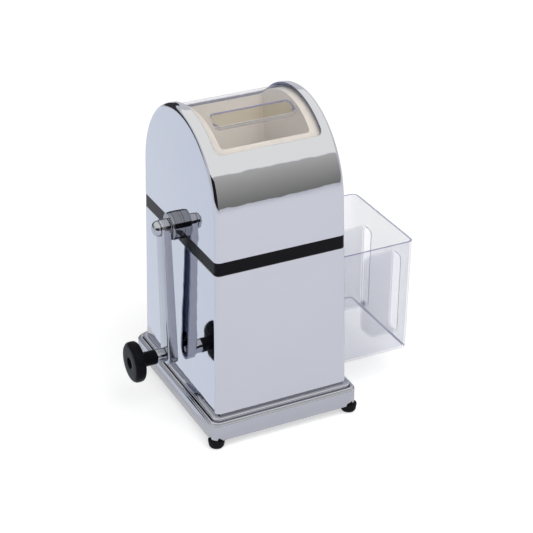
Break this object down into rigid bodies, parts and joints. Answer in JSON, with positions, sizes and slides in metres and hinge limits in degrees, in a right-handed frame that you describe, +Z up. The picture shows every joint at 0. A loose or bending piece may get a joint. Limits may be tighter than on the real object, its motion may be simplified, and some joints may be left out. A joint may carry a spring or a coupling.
{
  "type": "ice crusher",
  "caption": "Hand cranked ice crusher: arched chromed housing, roll-back lid over a hopper, side crank with a knob, and a clear slide-out ice bin on a footed base.",
  "frame": {"origin": "centre of the footprint, on the table", "axes": "+Z up; +X along the crank's shaft, away from the crank, the way the bin slides out; -Y to the front of the picture"},
  "size_m": [0.2388, 0.1666, 0.267],
  "materials": {
    "chromed_plastic": "polished",
    "chrome_fittings": "polished",
    "black_band": "gloss",
    "black_knob": "satin",
    "black_rubber": "matte",
    "cream_plastic": "gloss",
    "nylon": "matte",
    "steel": "satin",
    "steel_sleeve": "satin",
    "clear_lid": "polished",
    "clear_bin": "polished"
  },
  "bodies": {
    "housing": {"base": "chromed_plastic", "feet": "black_rubber", "foot_screws": "steel", "lower_housing": "chromed_plastic", "base_screws": "steel", "trim_band": "black_band", "band_screws": "steel", "upper_housing": "chromed_plastic", "housing_screws": "steel", "hopper": "cream_plastic", "crusher_cradle": "cream_plastic", "cradle_screws": "steel", "front_comb": "steel", "rear_comb": "steel", "comb_screws": "steel", "shaft_boss": "chrome_fittings", "crank_side_bush": "nylon", "bin_side_bush": "nylon"},
    "crank": {"drive_shaft": "steel", "crusher_wheels": "steel", "wheel_spacers": "steel_sleeve", "shaft_clip": "steel", "shaft_washer": "nylon", "crank_arm": "chrome_fittings", "dome_nut": "chrome_fittings", "handle_spindle": "steel", "handle_collar": "chrome_fittings"},
    "knob": {"knob": "black_knob"},
    "lid": {"lid": "clear_lid"},
    "bin": {"ice_bin": "clear_bin"}
  },
  "joints": [
    {"name": "crank_turn", "type": "hinge", "parent": "housing", "child": "crank", "pos_m": [0, 0, 0.167], "axis": [1, 0, 0], "continuous": true},
    {"name": "knob_spin", "type": "hinge", "parent": "crank", "child": "knob", "pos_m": [-0.09, 0, 0.0488], "axis": [1, 0, 0], "continuous": true},
    {"name": "lid_roll", "type": "hinge", "parent": "housing", "child": "lid", "pos_m": [0, 0, 0.19565], "axis": [-1, 0, 0], "range_deg": [0, 50]},
    {"name": "bin_slide", "type": "slide", "parent": "housing", "child": "bin", "axis": [1, 0, 0], "range_m": [-0.066, 0.06]}
  ]
}
